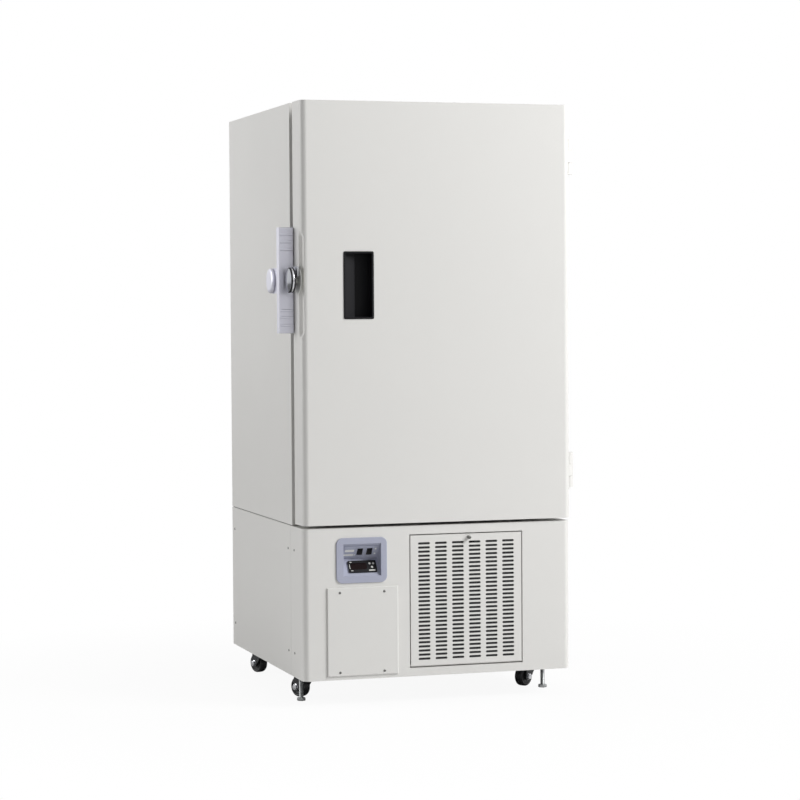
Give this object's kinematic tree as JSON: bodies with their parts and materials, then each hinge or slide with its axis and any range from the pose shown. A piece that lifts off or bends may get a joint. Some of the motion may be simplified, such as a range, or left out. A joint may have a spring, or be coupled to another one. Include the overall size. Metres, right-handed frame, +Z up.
{
  "type": "ultra low temperature freezer",
  "caption": "Upright laboratory ultra low temperature freezer on casters, with a side-latched insulated door, inner doors, shelves and a machine base with controls.",
  "frame": {"origin": "on the floor under the middle of the cabinet", "axes": "+Z up, the door faces -Y, +X to the right of someone who faces the door"},
  "size_m": [0.827, 0.799, 1.578],
  "materials": {
    "cabinet_paint": "satin powder coat, warm grey-white",
    "panel_plastic": "moulded, matte grey",
    "light_plastic": "moulded, off-white",
    "black_plastic": "moulded, black",
    "latch_paint": "satin paint, pale lavender grey",
    "steel": "brushed",
    "zinc_steel": "zinc plated",
    "chrome": "polished",
    "aluminium": "mill finish",
    "copper": "drawn tube",
    "foam": "foamed-in insulation",
    "seal_rubber": "soft grey seal",
    "black_rubber": "moulded, black",
    "wheel_nylon": "hard tread, black",
    "machine_paint": "black enamel",
    "window": "dark red filter window"
  },
  "bodies": {
    "cabinet": {"outer_shell": "cabinet_paint", "cabinet_insulation": "foam", "inner_liner": "steel", "opening_collar": "light_plastic", "evaporator_coil": "copper", "shelf_uprights": "steel", "shelves": "steel", "access_port": "light_plastic", "hinge_brackets": "cabinet_paint", "latch_base": "steel", "chassis": "zinc_steel", "caster_plates": "zinc_steel", "side_panels": "cabinet_paint", "front_fascia": "cabinet_paint", "rear_grille": "cabinet_paint", "mains_inlet": "black_plastic", "cover_plate": "cabinet_paint", "panel_screws": "chrome", "control_bezel": "panel_plastic", "controller": "black_plastic", "switch_plate": "panel_plastic", "compressors": "machine_paint", "compressor_feet": "black_rubber", "condenser": "aluminium", "fan_shroud": "zinc_steel", "fan_motor": "machine_paint", "cascade_exchanger": "black_rubber", "refrigerant_pipes": "copper", "electrics_box": "zinc_steel"},
    "door": {"door_skin": "cabinet_paint", "door_insulation": "foam", "door_liner": "light_plastic", "door_gasket": "seal_rubber", "handle_cup": "black_plastic", "door_hinge_leaves": "cabinet_paint", "striker": "black_plastic"},
    "upper_inner_door": {"inner_door_upper": "light_plastic"},
    "lower_inner_door": {"inner_door_lower": "light_plastic"},
    "intake_door": {"vent_door": "cabinet_paint", "air_filter": "black_rubber"},
    "intake_fastener": {"vent_knob": "chrome"},
    "latch": {"latch_lever": "latch_paint", "latch_claw": "steel"},
    "pivot_knob": {"latch_knob": "latch_paint"},
    "left_foot": {"foot_left": "zinc_steel"},
    "right_foot": {"foot_right": "zinc_steel"},
    "fan": {"fan_blades": "black_plastic"},
    "power_switch": {"power_rocker": "black_plastic"},
    "alarm_switch": {"alarm_rocker": "black_plastic"},
    "set_key": {"set_button": "light_plastic"},
    "up_key": {"up_button": "light_plastic"},
    "down_key": {"down_button": "light_plastic"},
    "front_left_fork": {"caster_fork_front_left": "machine_paint"},
    "front_left_wheel": {"caster_wheel_front_left": "wheel_nylon"},
    "front_right_fork": {"caster_fork_front_right": "machine_paint"},
    "front_right_wheel": {"caster_wheel_front_right": "wheel_nylon"},
    "rear_left_fork": {"caster_fork_rear_left": "machine_paint"},
    "rear_left_wheel": {"caster_wheel_rear_left": "wheel_nylon"},
    "rear_right_fork": {"caster_fork_rear_right": "machine_paint"},
    "rear_right_wheel": {"caster_wheel_rear_right": "wheel_nylon"}
  },
  "joints": [
    {"name": "door_hinge", "type": "hinge", "parent": "cabinet", "child": "door", "pos_m": [0.401, -0.2965, 1.022], "axis": [0, 0, 1], "range_deg": [0, 130]},
    {"name": "upper_inner_door_hinge", "type": "hinge", "parent": "cabinet", "child": "upper_inner_door", "pos_m": [0.275, -0.2715, 1.258], "axis": [0, 0, 1], "range_deg": [0, 104]},
    {"name": "lower_inner_door_hinge", "type": "hinge", "parent": "cabinet", "child": "lower_inner_door", "pos_m": [0.275, -0.2715, 0.79], "axis": [0, 0, 1], "range_deg": [0, 104]},
    {"name": "intake_door_hinge", "type": "hinge", "parent": "cabinet", "child": "intake_door", "pos_m": [0.077, -0.3825, 0.099], "axis": [1, 0, 0], "range_deg": [0, 75]},
    {"name": "intake_knob_turn", "type": "hinge", "parent": "intake_door", "child": "intake_fastener", "pos_m": [0.083, -0.3865, 0.433], "axis": [0, 1, 0], "range_deg": [0, 90]},
    {"name": "latch_pivot", "type": "hinge", "parent": "cabinet", "child": "latch", "pos_m": [-0.385, -0.1935, 1.114], "axis": [-1, 0, 0], "range_deg": [-4.4, 8]},
    {"name": "pivot_knob_turn", "type": "hinge", "parent": "cabinet", "child": "pivot_knob", "pos_m": [-0.4, -0.1935, 1.114], "axis": [-1, 0, 0], "range_deg": [0, 90]},
    {"name": "fan_spin", "type": "hinge", "parent": "cabinet", "child": "fan", "pos_m": [0.077, -0.2665, 0.2275], "axis": [0, 1, 0], "continuous": true},
    {"name": "left_foot_height", "type": "slide", "parent": "cabinet", "child": "left_foot", "axis": [0, 0, 1], "range_m": [0, 0.025]},
    {"name": "right_foot_height", "type": "slide", "parent": "cabinet", "child": "right_foot", "axis": [0, 0, 1], "range_m": [0, 0.025]},
    {"name": "power_rocker_tip", "type": "hinge", "parent": "cabinet", "child": "power_switch", "pos_m": [-0.213, -0.36687, 0.40724], "axis": [1, 0, 0], "range_deg": [0, 16]},
    {"name": "alarm_rocker_tip", "type": "hinge", "parent": "cabinet", "child": "alarm_switch", "pos_m": [-0.187, -0.36687, 0.40724], "axis": [1, 0, 0], "range_deg": [0, 16]},
    {"name": "set_press", "type": "slide", "parent": "cabinet", "child": "set_key", "axis": [0, 0.7933, -0.6088], "range_m": [0, 0.0008], "stiffness_N_per_m": 300},
    {"name": "up_press", "type": "slide", "parent": "cabinet", "child": "up_key", "axis": [0, 0.7933, -0.6088], "range_m": [0, 0.0008], "stiffness_N_per_m": 300},
    {"name": "down_press", "type": "slide", "parent": "cabinet", "child": "down_key", "axis": [0, 0.7933, -0.6088], "range_m": [0, 0.0008], "stiffness_N_per_m": 300},
    {"name": "front_left_swivel", "type": "hinge", "parent": "cabinet", "child": "front_left_fork", "pos_m": [-0.317, -0.1985, 0.06], "axis": [0, 0, 1], "continuous": true},
    {"name": "front_left_roll", "type": "hinge", "parent": "front_left_fork", "child": "front_left_wheel", "pos_m": [-0.32523, -0.18249, 0.027], "axis": [0.8894, 0.4571, 0], "continuous": true},
    {"name": "front_right_swivel", "type": "hinge", "parent": "cabinet", "child": "front_right_fork", "pos_m": [0.317, -0.1985, 0.06], "axis": [0, 0, 1], "continuous": true},
    {"name": "front_right_roll", "type": "hinge", "parent": "front_right_fork", "child": "front_right_wheel", "pos_m": [0.30215, -0.20867, 0.027], "axis": [-0.565, 0.8251, 0], "continuous": true},
    {"name": "rear_left_swivel", "type": "hinge", "parent": "cabinet", "child": "rear_left_fork", "pos_m": [-0.317, 0.2655, 0.06], "axis": [0, 0, 1], "continuous": true},
    {"name": "rear_left_roll", "type": "hinge", "parent": "rear_left_fork", "child": "rear_left_wheel", "pos_m": [-0.32386, 0.28214, 0.027], "axis": [0.9245, 0.3811, 0], "continuous": true},
    {"name": "rear_right_swivel", "type": "hinge", "parent": "cabinet", "child": "rear_right_fork", "pos_m": [0.317, 0.2655, 0.06], "axis": [0, 0, 1], "continuous": true},
    {"name": "rear_right_roll", "type": "hinge", "parent": "rear_right_fork", "child": "rear_right_wheel", "pos_m": [0.30069, 0.25789, 0.027], "axis": [-0.4226, 0.9063, 0], "continuous": true}
  ],
  "couplings": [
    {"joint": "upper_inner_door_hinge", "follows": "door_hinge", "ratio": 0.8},
    {"joint": "lower_inner_door_hinge", "follows": "door_hinge", "ratio": 0.8}
  ]
}
